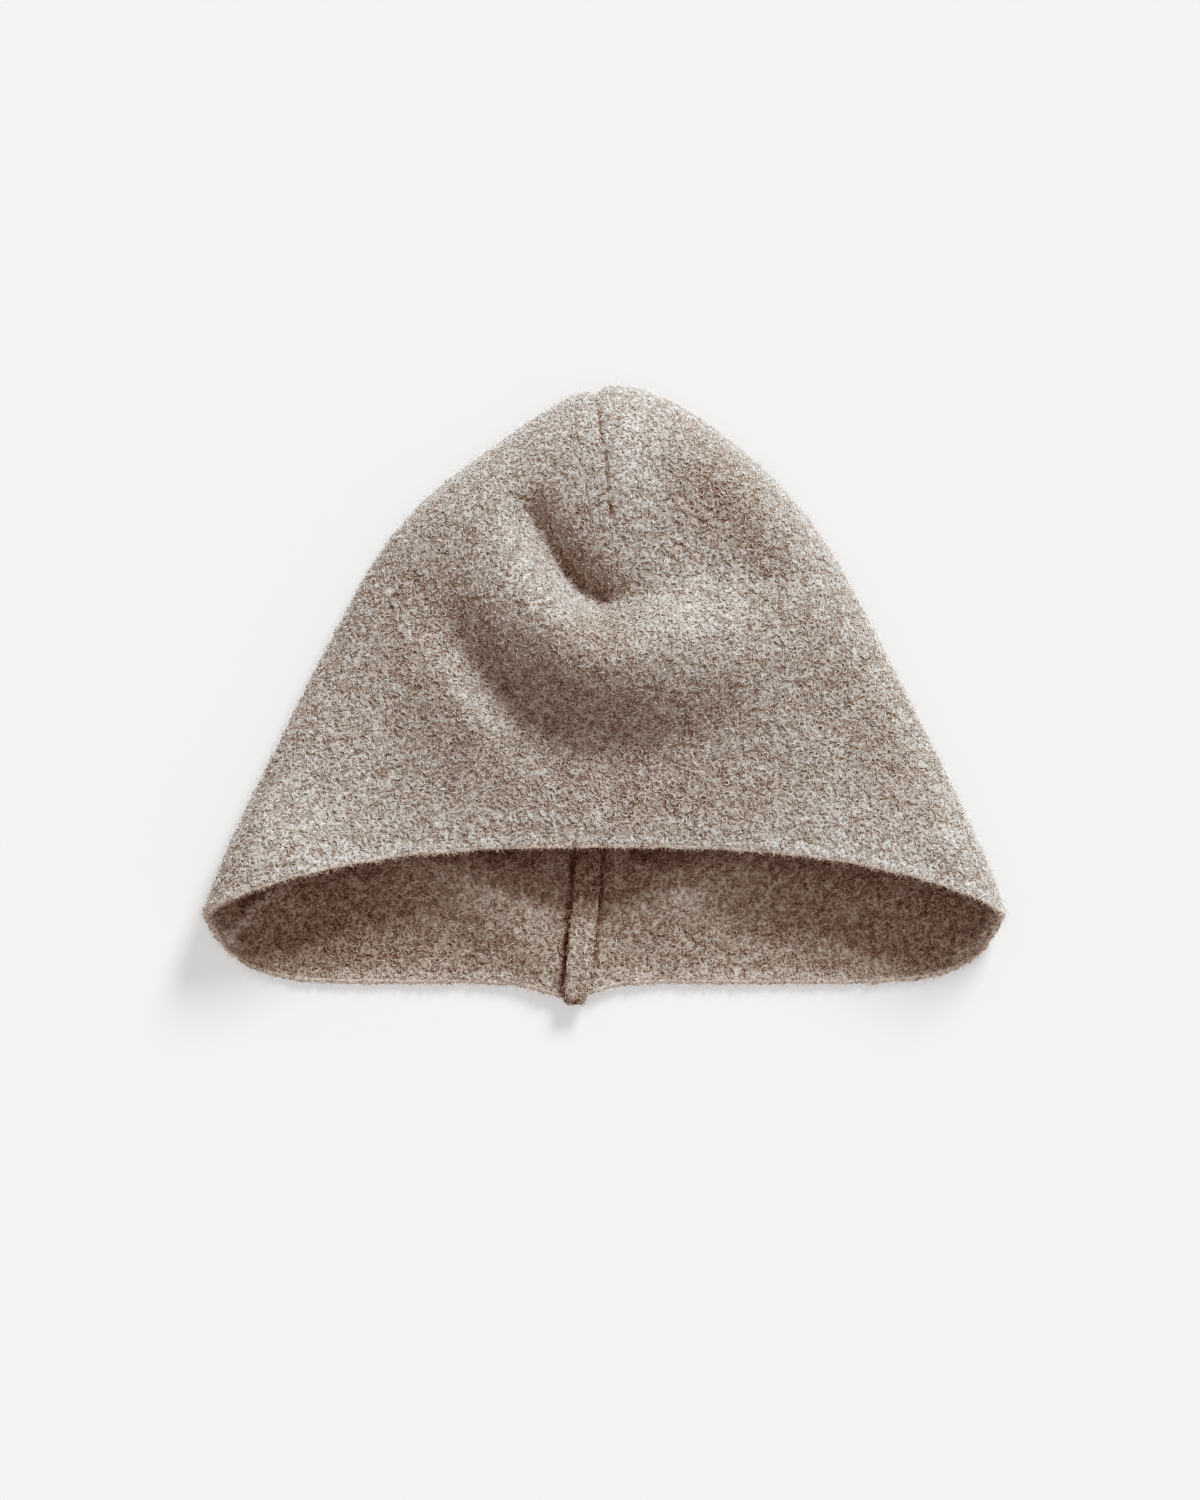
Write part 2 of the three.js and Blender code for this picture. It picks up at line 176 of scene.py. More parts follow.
# Colours of each wool: in the pits, of the ground, and of the lightest fibres
COLORS = {
    "wool_outside": [(0.18, 0.145, 0.12), (0.45, 0.43, 0.4), (0.735, 0.745, 0.735)],
    "wool_inside": [(0.145, 0.122, 0.104), (0.42, 0.385, 0.347), (0.7, 0.68, 0.64)],
    # the cut edge's paler colours are painted light on its face, which is turned away from the key
    "cut_edge": [(0.54, 0.48, 0.43), (0.72, 0.655, 0.6), (0.84, 0.78, 0.73)],
    "wool_loops": [(0.38, 0.355, 0.32), (0.56, 0.545, 0.52), (0.76, 0.775, 0.765)],
    "inner_loops": [(0.33, 0.3, 0.265), (0.48, 0.455, 0.42), (0.68, 0.68, 0.655)],
    "wool_fuzz": [(0.75, 0.68, 0.63), (0.86, 0.81, 0.77), (0.92, 0.89, 0.86)],
}
BODY_WOOLS = ["wool_outside", "wool_inside", "cut_edge"]  # by region, with the patterns of curled yarn
COLOR_TONES = [0.15, 0.5, 0.85]  # where the three colours lie

# Finish of the wool
CURLY_BUMP = 0.38 * MM
PLAIN_BUMP = 0.1 * MM
ROUGHNESS = 0.95
GLOSS = 0.1
SHEEN = 0.16
SHEEN_ROUGHNESS = 0.3

# Loops and hairs. Each kind has a count, the least gap between two of them, the radius of its loops or the
# length of its hairs, and the seed of its random draws
Growth = namedtuple("Growth", "count spacing size seed")
LOOP_RADIUS = (0.7 * MM, 1.2 * MM)
GROWTHS = {
    "front_loops_left": Growth(5300, 1.55 * MM, LOOP_RADIUS, 27),
    "front_loops_right": Growth(5300, 1.55 * MM, LOOP_RADIUS, 28),
    "back_loops": Growth(2600, 2.6 * MM, LOOP_RADIUS, 21),
    "inner_loops": Growth(4600, 1.7 * MM, LOOP_RADIUS, 22),
    "rim_loops": Growth(1000, 1.1 * MM, (0.5 * MM, 0.85 * MM), 20),
    "rim_fuzz": Growth(6000, 0.4 * MM, (0.6 * MM, 1.9 * MM), 19),
    "side_fuzz": Growth(9500, 0.6 * MM, (1 * MM, 2.6 * MM), 20),
    "back_seam_allowance_loops": Growth(260, 1.7 * MM, LOOP_RADIUS, 36),
}
TRIES = 6  # places drawn for each one that is kept
TUBE_SIDES = 3
TUBE_HELPER = (0.31, 0.17, 0.93)  # a direction that no yarn follows, from which its rings are turned
ALONG_X = 0.7  # a normal that lies further along X than this is crossed with Y, and any other with X
LOWEST = 0.05 * MM  # no fibre dips further towards the floor

LOOP_POINTS = 8  # along a loop, its two tips among them
LOOP_TILT = (0.0, 0.6)
LOOP_STRETCH = (0.75, 1.25)
LOOP_SWEEP = (210, 320)  # degrees
LOOP_WOBBLE = 0.07
LOOP_RISE = (0.1, 0.35)  # rise, ring and dip are shares of the radius
LOOP_RING = 0.85
LOOP_DIP = 0.5
YARN_THICKNESS = (0.13, 0.22)
YARN_TONE = (0.5, 0.13)  # mean and spread

HAIR_POINTS = 3
HAIR_LEAN = (0.1, 0.55)
HAIR_BEND = (0.3, 1.2)
HAIR_THICKNESS = (0.06, 0.11)
HAIR_TONE = (0.6, 0.15)

# Where they grow
CLEAR_OF_EDGE = 0.8 * MM
RIM_REACH = 1.5 * MM
BARE_BY_DART = 0.9 * MM  # no loops this close to the dart's line
FRONT_LOOPS_FACING = -0.1
SIDE_FUZZ_FACING = 0.75  # the side ends where the cloth faces up or down more than this
INNER_LOOPS_TO = -35 * MM  # deeper inside the hat no loops are seen

# Seam allowance and tuck inside the hat
LAYER_PEBBLE_SIZE = 0.8 * PEBBLE_SIZE
LAYER_PEBBLE_HEIGHT = 0.3 * MM
LAYER_PEBBLE_TONE = 0.12
LAYER_INSET = 0.2 * MM


def add_object(name, data):
    item = bpy.data.objects.new(name, data)
    bpy.context.collection.objects.link(item)
    return item


def make_camera():
    data = bpy.data.cameras.new("camera")
    data.sensor_width = CAMERA_SENSOR
    data.lens = CAMERA_SENSOR * CAMERA_DISTANCE / VIEW_HEIGHT
    data.clip_end = CAMERA_REACH
    camera = add_object("camera", data)
    camera.location = (*VIEW_CENTRE, OUTLINE_LEVEL + CAMERA_DISTANCE)
    bpy.context.scene.camera = camera


def make_key():
    data = bpy.data.lights.new("key", "SUN")
    data.energy = KEY_STRENGTH
    data.angle = KEY_SOFTNESS
    flat = math.cos(KEY_ELEVATION)
    towards = Vector((math.sin(KEY_AZIMUTH) * flat, math.cos(KEY_AZIMUTH) * flat, math.sin(KEY_ELEVATION)))
    add_object("key", data).rotation_euler = towards.to_track_quat("Z", "Y").to_euler()


def make_fill():
    world = bpy.data.worlds.new("fill")
    world.use_nodes = True
    background = world.node_tree.nodes["Background"]
    background.inputs["Color"].default_value = (1, 1, 1, 1)
    background.inputs["Strength"].default_value = FILL_STRENGTH
    bpy.context.scene.world = world


def set_display():
    """The contrast of the print: each channel's curve has a toe, and ends straight."""
    view = bpy.context.scene.view_settings
    view.view_transform = "Standard"
    view.look = "None"
    view.use_curve_mapping = True
    for channel, (level, steepness) in enumerate(TOES):
        points = view.curve_mapping.curves[channel].points
        points[-1].location = (1, SHOWN)
        for light in TONE_STEPS:
            points.new(light, SHOWN * light * (1 - math.exp(-((light / level) ** steepness))))
    view.curve_mapping.update()


class Nodes:
    """A short way to write a material's node tree."""

    def __init__(self, name):
        self.material = bpy.data.materials.new(name)
        self.material.use_nodes = True
        self.tree = self.material.node_tree
        self.shader = self.tree.nodes["Principled BSDF"]

    def add(self, kind, inputs=None, **settings):
        node = self.tree.nodes.new(kind)
        for key, value in settings.items():
            setattr(node, key, value)
        for key, value in (inputs or {}).items():
            self.set(node.inputs[key], value)
        return node

    def set(self, socket, value):
        if isinstance(value, bpy.types.NodeSocket):
            self.tree.links.new(value, socket)
        else:
            socket.default_value = value

    def noise(self, place, size, detail=3, roughness=0.6, distortion=0):
        settings = {"Vector": place, "Scale": 1 / size, "Detail": detail, "Roughness": roughness}
        return self.add("ShaderNodeTexNoise", {**settings, "Distortion": distortion}).outputs["Fac"]

    def cells(self, place, size):
        settings = {"Vector": place, "Scale": 1 / size}
        return self.add("ShaderNodeTexVoronoi", settings, feature="SMOOTH_F1").outputs["Distance"]

    def ramp(self, value, places, colors):
        node = self.add("ShaderNodeValToRGB", {"Fac": value})
        points = node.color_ramp.elements
        while len(points) < len(places):
            points.new(0.5)
        for point, place, color in zip(points, places, colors):
            point.position = place
            point.color = (*color, 1)
        return node.outputs["Color"]

    def math(self, operation, *values):
        node = self.add("ShaderNodeMath", operation=operation)
        for socket, value in zip(node.inputs, values):
            self.set(socket, value)
        return node.outputs[0]

    def line_at(self, pattern, level, width):
        """1 where the pattern has this level, falling to 0 over the width on both sides."""
        gap = self.math("ABSOLUTE", self.math("SUBTRACT", pattern, level))
        return self.math("SUBTRACT", 1, self.math("MINIMUM", self.math("DIVIDE", gap, width), 1))

    def bump(self, height, distance):
        settings = {"Height": height, "Distance": distance, "Strength": 1}
        return self.add("ShaderNodeBump", settings).outputs["Normal"]


def curls(nodes, place):
    """Bright rings round the points of a cell pattern."""
    size, radius, width = CURLS
    return nodes.line_at(nodes.cells(place, size), radius, width)


def strands(nodes, place, size):
    """Bright curved lines where a noise passes its middle value."""
    pattern = nodes.noise(place, size, detail=1, distortion=STRAND_BEND)
    return nodes.line_at(pattern, STRAND_LEVEL, STRAND_WIDTH)


def curly_patterns(nodes, place, fibres):
    """The patterns of the curled yarn with their weights, and the height that they give the surface."""
    lines = nodes.math("MAXIMUM", *(strands(nodes, place, size) for size in STRAND_SIZES))
    yarn = nodes.math("MAXIMUM", lines, nodes.math("MULTIPLY", curls(nodes, place), CURL_LIGHT))
    pebble = nodes.cells(place, PEBBLE_SIZE)
    height = nodes.math("SUBTRACT", nodes.math("ADD", yarn, fibres), pebble)
    return [(yarn, *YARN), (fibres, *FIBRES), (pebble, *PEBBLES)], nodes.math("MULTIPLY", height, 0.5)


def wool(name):
    """Felted wool: its colours are mixed by its patterns and by the tone kept on the mesh, with its painted
    light and shade.
    """
    curly = name in BODY_WOOLS
    nodes = Nodes(name)
    shader = nodes.shader.inputs
    place = nodes.add("ShaderNodeTexCoord").outputs["Object"]
    tone = nodes.add("ShaderNodeAttribute", attribute_name="tone").outputs["Fac"]
    fibres = nodes.noise(place, FIBRE_SIZE, detail=2, distortion=FIBRE_BEND)
    patterns, height = [(fibres, *PLAIN_FIBRES)], fibres
    if curly:
        patterns, height = curly_patterns(nodes, place, fibres)
    for pattern, centre, weight in [(nodes.noise(place, PATCH_SIZE), *PATCHES), *patterns]:
        tone = nodes.math("MULTIPLY_ADD", nodes.math("SUBTRACT", pattern, centre), weight, tone)
    nodes.set(shader["Base Color"], nodes.ramp(tone, COLOR_TONES, COLORS[name]))
    nodes.set(shader["Normal"], nodes.bump(height, CURLY_BUMP if curly else PLAIN_BUMP))
    shader["Roughness"].default_value = ROUGHNESS
    shader["Specular IOR Level"].default_value = GLOSS
    shader["Sheen Weight"].default_value = SHEEN
    shader["Sheen Roughness"].default_value = SHEEN_ROUGHNESS
    return nodes.material


def make_floor():
    mesh = bpy.data.meshes.new("floor")
    signs = [(-1, -1), (1, -1), (1, 1), (-1, 1)]
    mesh.from_pydata([(x * FLOOR_REACH, y * FLOOR_REACH, 0) for x, y in signs], [], [(0, 1, 2, 3)])
    nodes = Nodes("floor")
    shader = nodes.shader.inputs
    shader["Base Color"].default_value = (FLOOR_WHITE, FLOOR_WHITE, FLOOR_WHITE, 1)
    shader["Emission Color"].default_value = (1, 1, 1, 1)
    shader["Emission Strength"].default_value = FLOOR_GLOW
    shader["Roughness"].default_value = 1
    shader["Specular IOR Level"].default_value = 0
    mesh.materials.append(nodes.material)
    add_object("floor", mesh)


def grow_region(start, seen):
    """The faces that join a face without crossing a sharp edge."""
    seen.add(start)
    found = [start]
    for face in found:
        for edge in face.edges:
            if edge.calc_face_angle(0) < SHARP:
                fresh = [near for near in edge.link_faces if near not in seen]
                seen.update(fresh)
                found.extend(fresh)
    return found


def mark_regions(surface):
    """Sets each face's material: the outside is the largest region, then the inside, then the cut edge."""
    seen = set()
    regions = [grow_region(face, seen) for face in surface.faces if face not in seen]
    regions.sort(key=lambda faces: sum(face.calc_area() for face in faces), reverse=True)
    for region, faces in enumerate(regions):
        for face in faces:
            face.material_index = min(region, CUT_EDGE)


def crease_regions(surface):
    """Keeps the line between two regions a little tighter than the rest."""
    crease = surface.edges.layers.float.new("crease_edge")
    for edge in surface.edges:
        if len({face.material_index for face in edge.link_faces}) > 1:
            edge[crease] = CUT_CREASE


def smoothed(piece):
    """The mesh of a piece after subdivision."""
    modifier = piece.modifiers.new("smooth", "SUBSURF")
    modifier.levels = modifier.render_levels = SUBDIVISIONS
    fine = bpy.data.meshes.new_from_object(piece.evaluated_get(bpy.context.evaluated_depsgraph_get()))
    piece.modifiers.clear()
    fine.shade_smooth()
    return fine


def refined(node, name, regions=False):
    """A copy of a CAD node's surface, with shared vertices, quads and a subdivided, smooth surface."""
    surface = bmesh.new()
    surface.from_mesh(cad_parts[node].data)
    bmesh.ops.remove_doubles(surface, verts=surface.verts, dist=WELD)
    if regions:
        mark_regions(surface)
    bmesh.ops.join_triangles(
        surface,
        faces=surface.faces,
        cmp_materials=True,
        angle_face_threshold=JOIN_BEND,
        angle_shape_threshold=JOIN_SKEW,
    )
    crease_regions(surface)
    rough = bpy.data.meshes.new(name)
    surface.to_mesh(rough)
    surface.free()
    piece = add_object(name, rough)
    piece.data = smoothed(piece)
    return piece


def points_of(mesh):
    points = np.empty(len(mesh.vertices) * 3)
    mesh.vertices.foreach_get("co", points)
    return points.reshape(-1, 3)


def normals_of(mesh):
    normals = np.empty(len(mesh.vertices) * 3)
    mesh.vertex_normals.foreach_get("vector", normals)
    return normals.reshape(-1, 3)


def corners_of(mesh):
    """Vertices of each triangle, and the material of each."""
    mesh.calc_loop_triangles()
    count = len(mesh.loop_triangles)
    corners = np.empty(count * 3, int)
    materials = np.empty(count, int)
    mesh.loop_triangles.foreach_get("vertices", corners)
    mesh.loop_triangles.foreach_get("material_index", materials)
    return corners.reshape(-1, 3), materials


def set_points(mesh, points):
    mesh.vertices.foreach_set("co", points.ravel())
    mesh.update()


def set_tone(mesh, tone):
    attribute = mesh.attributes.new("tone", "FLOAT", "POINT")
    attribute.data.foreach_set("value", np.asarray(tone, np.float32))


def smooth_step(value, low, high):
    share = np.clip((value - low) / (high - low), 0, 1)
    return share * share * (3 - 2 * share)


def bell(distance, width):
    return np.exp(-((distance / width) ** 2))


def distance_to_line(points, line):
    """Distance from a line of points X, Y in millimetres, seen from above."""
    nearest = np.full(len(points), np.inf)
    corners = np.array(line) * MM
    for start, end in zip(corners[:-1], corners[1:]):
        along = end - start
        share = np.clip((points[:, :2] - start) @ along / (along @ along), 0, 1)
        gap = np.hypot(*(points[:, :2] - start - share[:, None] * along).T)
        nearest = np.minimum(nearest, gap)
    return nearest


def distance_to_place(points, place):
    """Distance from a place X, Y in millimetres, seen from above."""
    return np.hypot(*(points[:, :2] - np.array(place) * MM).T)


def distance_to_points(points, targets):
    tree = kdtree.KDTree(len(targets))
    for index, target in enumerate(targets):
        tree.insert(target, index)
    tree.balance()
    return np.array([tree.find(point)[2] for point in points])


def spot(points, x, y, across, along, turn=0):
    """A soft oval spot seen from above, 1 in its middle. Its sizes are in millimetres."""
    angle = math.radians(turn)
    away_x, away_y = points[:, 0] / MM - x, points[:, 1] / MM - y
    first = (away_x * math.cos(angle) + away_y * math.sin(angle)) / across
    second = (away_y * math.cos(angle) - away_x * math.sin(angle)) / along
    return bell(np.hypot(first, second), 1)


def waves(points, size):
    return np.array([noise.noise(point / size) for point in points])


def pebbles(points, size):
    """Round bumps of the given pitch, from -1 to 1."""
    nearest = np.array([noise.voronoi(point / size)[0][0] for point in points])
    return 1 - 2 * np.clip(nearest / PEBBLE_REACH, 0, 1)


class Cloth:
    """The body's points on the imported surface, and where on the hat each of them lies."""

    def __init__(self, mesh):
        self.points, self.normals = points_of(mesh), normals_of(mesh)
        corners, region = corners_of(mesh)
        edge, outside = (np.unique(corners[region == kind]) for kind in (CUT_EDGE, OUTSIDE))
        self.from_edge = distance_to_points(self.points, self.points[edge])
        self.off_rim = smooth_step(self.from_edge, 0, RIM_BAND)
        self.bumps = pebbles(self.points, PEBBLE_SIZE)
        self.outside = np.zeros(len(self.points), bool)
        self.outside[outside] = True
        faces_up = self.normals[:, 2]
        self.front = self.outside & (faces_up > FRONT_FACING)
        self.back = self.outside & ~self.front
        self.inner_back = ~self.outside & (faces_up > 0)


def felt_and_painted_tone(cloth):
    """How pale each point is before its stitches and ridges: the felt's tone with painted light and shade.
    """
    tone = GROUND_TONE + PEBBLE_TONE * cloth.bumps * cloth.off_rim
    # Painted light: paler along the cut edge, on upright cloth round the outline, and deeper inside under
    # the front
    tone += LIP_PAINTED_LIGHT * bell(cloth.from_edge, LIP_WIDTH)
    tone += SIDE_PAINTED_LIGHT * cloth.outside * (1 - smooth_step(np.abs(cloth.normals[:, 2]), *SIDE_FACING))
    tone += DEEP_PAINTED_LIGHT * cloth.inner_back * smooth_step(cloth.points[:, 1], DEEP_FROM, DEEP_TO)
    # Painted light and shade of the folds
    for painted_spots, chosen in ((FRONT_PAINTED_SHADING, cloth.front), (INSIDE_PAINTED_SHADING, cloth.inner_back)):
        for x, y, painted_shading, *size in painted_spots:
            tone += painted_shading * spot(cloth.points, x, y, *size) * chosen
    # Painted light at the hem's two corners
    for corner in CORNERS:
        tone += CORNER_PAINTED_LIGHT * cloth.inner_back * bell(distance_to_place(cloth.points, corner), CORNER_WIDTH)
    return tone


def groove_along(points, line, groove):
    """How deep a stitched line pulls each point in, and how much painted shade darkens it."""
    depth, half_width, painted_shade = groove
    strength = bell(distance_to_line(points, line), half_width)
    strength *= np.clip(STITCH_MEAN + waves(points, STITCH_SIZE), STITCH_LEAST, 1)
    return depth * strength, painted_shade * strength


def relief(cloth):
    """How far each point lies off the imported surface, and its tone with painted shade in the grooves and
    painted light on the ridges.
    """
    points = cloth.points
    pebble_share = RIM_PEBBLES + (1 - RIM_PEBBLES) * cloth.off_rim
    height = -WALL_INSET * cloth.off_rim + PEBBLE_HEIGHT * 0.5 * cloth.bumps * pebble_share
    tone = felt_and_painted_tone(cloth)
    for line, groove, chosen in (
        (DART_LINE, DART_GROOVE, cloth.front),
        (BACK_LINE, BACK_GROOVE, cloth.back),
        (SEAM_LEFT, SEAM_GROOVE, cloth.inner_back),
        (SEAM_RIGHT, SEAM_GROOVE, cloth.inner_back),
    ):
        depth, painted_shade = groove_along(points, line, groove)
        height -= depth * chosen
        # Painted shade along the groove
        tone -= painted_shade * chosen
    height -= NOTCH_DEPTH * bell(distance_to_place(points, NOTCH), NOTCH_WIDTH) * cloth.outside
    for half_width, rise, painted_shading, line in RIDGES:
        ridge = bell(distance_to_line(points, line), half_width) * cloth.inner_back * cloth.off_rim
        height += rise * ridge
        # Painted light on the ridge
        tone += painted_shading * ridge
    height += RIM_WAVE * waves(points, RIM_WAVE_SIZE) * bell(cloth.from_edge, RIM_WAVE_REACH)
    return height, tone


def moved_points(cloth, height):
    """Where each point comes to lie, with the lifted places of the front and the side of the crown."""
    points = cloth.points
    moved = points + cloth.normals * height[:, None]
    of_front = smooth_step(points[:, 2], FRONT_FROM, FRONT_TO)
    for x, y, rise, *size in LIFTS:
        moved[:, 2] += rise * MM * spot(points, x, y, *size) * of_front
    moved[:, :2] += np.outer(spot(points, *CROWN_SIDE), CROWN_SHIFT)
    return moved


def make_body(materials):
    """The felted ground of the whole hat, and how far each of its points is from the cut edge."""
    body = refined("shell", "wool_body", regions=True)
    cloth = Cloth(body.data)
    height, tone = relief(cloth)
    set_points(body.data, moved_points(cloth, height))
    set_tone(body.data, tone)
    for name in BODY_WOOLS:
        body.data.materials.append(materials[name])
    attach(body, "root")
    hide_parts("shell")
    return body, cloth.from_edge


def far_apart(places, spacing, count):
    """Numbers of the first places that keep their distance from each other, one in each cell of space."""
    taken = {}
    around = list(product((-1, 0, 1), repeat=3))
    for index, (x, y, z) in enumerate(np.floor(places / spacing).astype(int).tolist()):
        near = [taken.get((x + i, y + j, z + k)) for i, j, k in around]
        is_free = (x, y, z) not in taken
        if is_free and all(n is None or math.dist(places[n], places[index]) > spacing for n in near):
            taken[x, y, z] = index
        if len(taken) == count:
            break
    return list(taken.values())


def scatter(mesh, chosen, spacing, count, random):
    """Points spread over the chosen triangles, no two closer than the spacing, with their normals."""
    points, normals = points_of(mesh), normals_of(mesh)
    corners = corners_of(mesh)[0][chosen]
    a, b, c = (points[corners[:, k]] for k in range(3))
    areas = np.linalg.norm(np.cross(b - a, c - a), axis=1)
    picked = random.choice(len(corners), size=count * TRIES, p=areas / areas.sum())
    first, second = random.random((2, count * TRIES))
    folded = first + second > 1
    first[folded], second[folded] = 1 - first[folded], 1 - second[folded]
    shares = np.stack([1 - first - second, first, second], axis=1)
    places = np.einsum("nk,nkd->nd", shares, points[corners[picked]])
    facing = np.einsum("nk,nkd->nd", shares, normals[corners[picked]])
    facing /= np.linalg.norm(facing, axis=1)[:, None]
    kept = far_apart(places, spacing, count)
    return places[kept], facing[kept]


def tangents_of(normals, turn):
    """Two directions across each normal, turned about it."""
    helper = np.where(np.abs(normals[:, :1]) < ALONG_X, [[1.0, 0, 0]], [[0, 1.0, 0]])
    first = np.cross(normals, helper)
    first /= np.linalg.norm(first, axis=1)[:, None]
    second = np.cross(normals, first)
    cos, sin = np.cos(turn)[:, None], np.sin(turn)[:, None]
    return first * cos + second * sin, second * cos - first * sin


def loop_paths(places, normals, random, radius):
    """Middle lines of open, tilted curls that rise out of the ground and dip back into it."""
    count = len(places)
    across, along = tangents_of(normals, random.uniform(0, math.tau, count))
    lean = random.uniform(*LOOP_TILT, count)[:, None]
    up = np.cos(lean) * along + np.sin(lean) * normals
    size = random.uniform(*radius, count)[:, None, None]
    stretch = random.uniform(*LOOP_STRETCH, count)[:, None, None]
    sweep = np.radians(random.uniform(*LOOP_SWEEP, count))
    share = np.linspace(-0.5, 0.5, LOOP_POINTS)
    angle = share[None, :] * sweep[:, None]
    wobble = random.normal(0, LOOP_WOBBLE, (count, LOOP_POINTS, 3))
    ring = np.sin(angle)[..., None] * across[:, None] * stretch
    ring = ring + np.cos(angle)[..., None] * up[:, None] / stretch + wobble
    dip = (np.abs(share) * 2)[None, :, None] ** 2 * normals[:, None]
    rise = random.uniform(*LOOP_RISE, count)[:, None, None] * normals[:, None]
    return places[:, None] + size * (ring * LOOP_RING - LOOP_DIP * dip + rise)


def hair_paths(places, normals, random, length):
    """Middle lines of short fibres that stand off the wool and bend over."""
    count = len(places)
    across, _ = tangents_of(normals, random.uniform(0, math.tau, count))
    length = random.uniform(*length, count)[:, None, None]
    lean = random.uniform(*HAIR_LEAN, count)[:, None, None]
    bend = random.uniform(*HAIR_BEND, count)[:, None, None]
    share = np.linspace(0, 1, HAIR_POINTS)[None, :, None]
    aside = across[:, None] * (lean + bend * share)
    return places[:, None] + length * share * (normals[:, None] + aside)


def tube_points(paths, thickness):
    """Vertices of tapered tubes round the paths: one at each tip, and a ring at each point between."""
    ahead = np.gradient(paths, axis=1)
    ahead /= np.linalg.norm(ahead, axis=2)[..., None] + TINY
    first = np.cross(ahead, TUBE_HELPER)
    first /= np.linalg.norm(first, axis=2)[..., None]
    second = np.cross(ahead, first)
    turns = np.arange(TUBE_SIDES) * math.tau / TUBE_SIDES
    ring = first[:, :, None] * np.cos(turns)[:, None] + second[:, :, None] * np.sin(turns)[:, None]
    rings = paths[:, 1:-1, None] + ring[:, 1:-1] * thickness[:, None, None, None]
    rings = rings.reshape(len(paths), -1, 3)
    return np.concatenate([paths[:, :1], rings, paths[:, -1:]], axis=1)


def tube_triangles(rings):
    """Triangles of one tapered tube, by the vertex order of tube_points."""
    tip = rings * TUBE_SIDES + 1
    triangles = []
    for side in range(TUBE_SIDES):
        after = (side + 1) % TUBE_SIDES
        triangles.append((0, 1 + after, 1 + side))
        for ring in range(rings - 1):
            a, b = 1 + ring * TUBE_SIDES + side, 1 + ring * TUBE_SIDES + after
            triangles += [(a, b, b + TUBE_SIDES), (a, b + TUBE_SIDES, a + TUBE_SIDES)]
        last = tip - TUBE_SIDES
        triangles.append((tip, last + side, last + after))
    return np.array(triangles)


def mesh_of_tubes(name, paths, thickness, tones):
    """All tubes joined to one mesh."""
    vertices = tube_points(paths, thickness)
    vertices[..., 2] = np.maximum(vertices[..., 2], LOWEST)
    count, each = vertices.shape[:2]
    first_of_each = np.arange(count) * each
    triangles = first_of_each[:, None, None] + tube_triangles(paths.shape[1] - 2)
    mesh = bpy.data.meshes.new(name)
    mesh.from_pydata(vertices.reshape(-1, 3).tolist(), [], triangles.reshape(-1, 3).tolist())
    mesh.shade_smooth()
    set_tone(mesh, np.repeat(tones, each))
    return mesh


def grow(name, base, chosen, paths_of, thickness, tone, material):
    """One piece of loops or hairs on the chosen triangles of the base."""
    growth = GROWTHS[name]
    random = np.random.default_rng(growth.seed)
    places, normals = scatter(base.data, chosen, growth.spacing, growth.count, random)
    paths = paths_of(places, normals, random, growth.size)
    thickness = random.uniform(*thickness, len(places)) * MM
    tones = np.clip(random.normal(*tone, len(places)), 0, 1)
    mesh = mesh_of_tubes(name, paths, thickness, tones)
    mesh.materials.append(material)
    piece = add_object(name, mesh)
    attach(piece, "root")


def grow_loops(name, base, chosen, material):
    grow(name, base, chosen, loop_paths, YARN_THICKNESS, YARN_TONE, material)


def grow_fuzz(name, base, chosen, material):
    grow(name, base, chosen, hair_paths, HAIR_THICKNESS, HAIR_TONE, material)


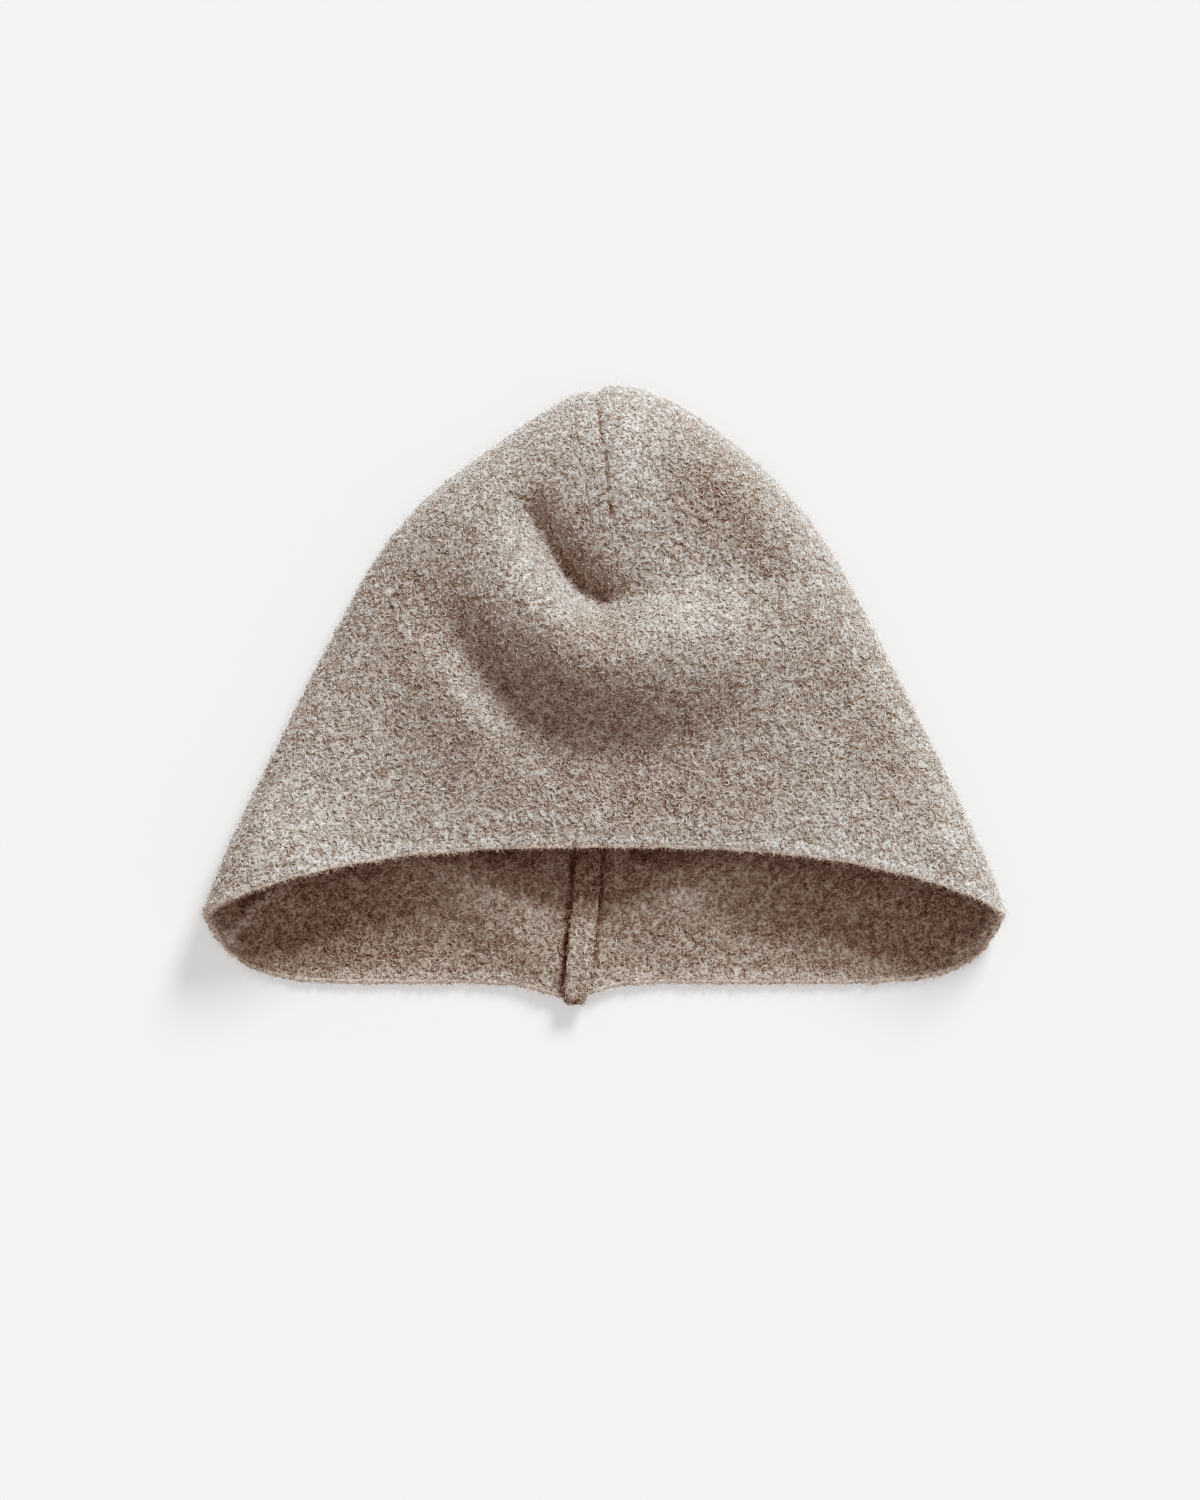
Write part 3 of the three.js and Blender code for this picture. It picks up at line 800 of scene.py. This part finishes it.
def dress_body(body, from_edge, materials):
    """Loops of yarn all over the body, and loose fibres on its cut edge and round its sides."""
    points = points_of(body.data)
    corners, region = corners_of(body.data)
    middle = points[corners].mean(axis=1)
    a, b, c = (points[corners[:, k]] for k in range(3))
    facing = np.cross(b - a, c - a)
    faces_up = facing[:, 2] / (np.linalg.norm(facing, axis=1) + TINY)
    gap = from_edge[corners].mean(axis=1)

    outside = (region == OUTSIDE) & (gap > CLEAR_OF_EDGE)
    upper = outside & (faces_up > FRONT_LOOPS_FACING)
    front = upper & (distance_to_line(middle, DART_LINE) >= BARE_BY_DART)
    left = middle[:, 0] < 0
    inside = (region == INSIDE) & (gap > CLEAR_OF_EDGE) & (middle[:, 1] < INNER_LOOPS_TO)
    rim = (region == CUT_EDGE) | (gap < RIM_REACH)
    side = (region == OUTSIDE) & (np.abs(faces_up) < SIDE_FUZZ_FACING)

    grow_loops("front_loops_left", body, front & left, materials["wool_loops"])
    grow_loops("front_loops_right", body, front & ~left, materials["wool_loops"])
    grow_loops("back_loops", body, outside & ~upper, materials["wool_loops"])
    grow_loops("inner_loops", body, inside, materials["inner_loops"])
    grow_loops("rim_loops", body, rim, materials["cut_edge"])
    grow_fuzz("rim_fuzz", body, rim, materials["wool_fuzz"])
    grow_fuzz("side_fuzz", body, side, materials["wool_fuzz"])


def make_layer(node, name, materials):
    """A seam allowance or tuck inside the hat, of the same knit as the body's inner side."""
    layer = refined(node, name)
    mesh = layer.data
    points, normals = points_of(mesh), normals_of(mesh)
    bumps = pebbles(points, LAYER_PEBBLE_SIZE)
    set_points(mesh, points + normals * (LAYER_PEBBLE_HEIGHT * bumps - LAYER_INSET)[:, None])
    set_tone(mesh, GROUND_TONE + LAYER_PEBBLE_TONE * bumps)
    mesh.materials.clear()
    mesh.materials.append(materials["wool_inside"])
    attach(layer, "root")
    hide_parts(node)
    return layer


def dress_seam(seam, materials):
    """Loops on the upper side of the seam allowance, as deep inside the hat as they are seen."""
    corners, _ = corners_of(seam.data)
    upper = normals_of(seam.data)[corners].mean(axis=1)[:, 2] > 0
    seen = points_of(seam.data)[corners].mean(axis=1)[:, 1] < INNER_LOOPS_TO
    chosen = upper & seen
    grow_loops("back_seam_allowance_loops", seam, chosen, materials["inner_loops"])


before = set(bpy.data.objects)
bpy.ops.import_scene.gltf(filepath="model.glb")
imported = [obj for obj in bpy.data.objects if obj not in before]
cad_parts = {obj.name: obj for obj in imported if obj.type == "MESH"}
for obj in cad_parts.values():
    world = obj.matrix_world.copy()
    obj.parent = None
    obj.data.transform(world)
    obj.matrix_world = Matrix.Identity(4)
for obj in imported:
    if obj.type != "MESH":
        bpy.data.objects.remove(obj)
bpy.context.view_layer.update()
make_camera()
make_key()
make_fill()
set_display()
make_floor()
materials = {name: wool(name) for name in COLORS}
body, from_edge = make_body(materials)
dress_body(body, from_edge, materials)
seam = make_layer("back_seam", "back_seam_allowance", materials)
dress_seam(seam, materials)
make_layer("dart_tuck", "dart_fold", materials)
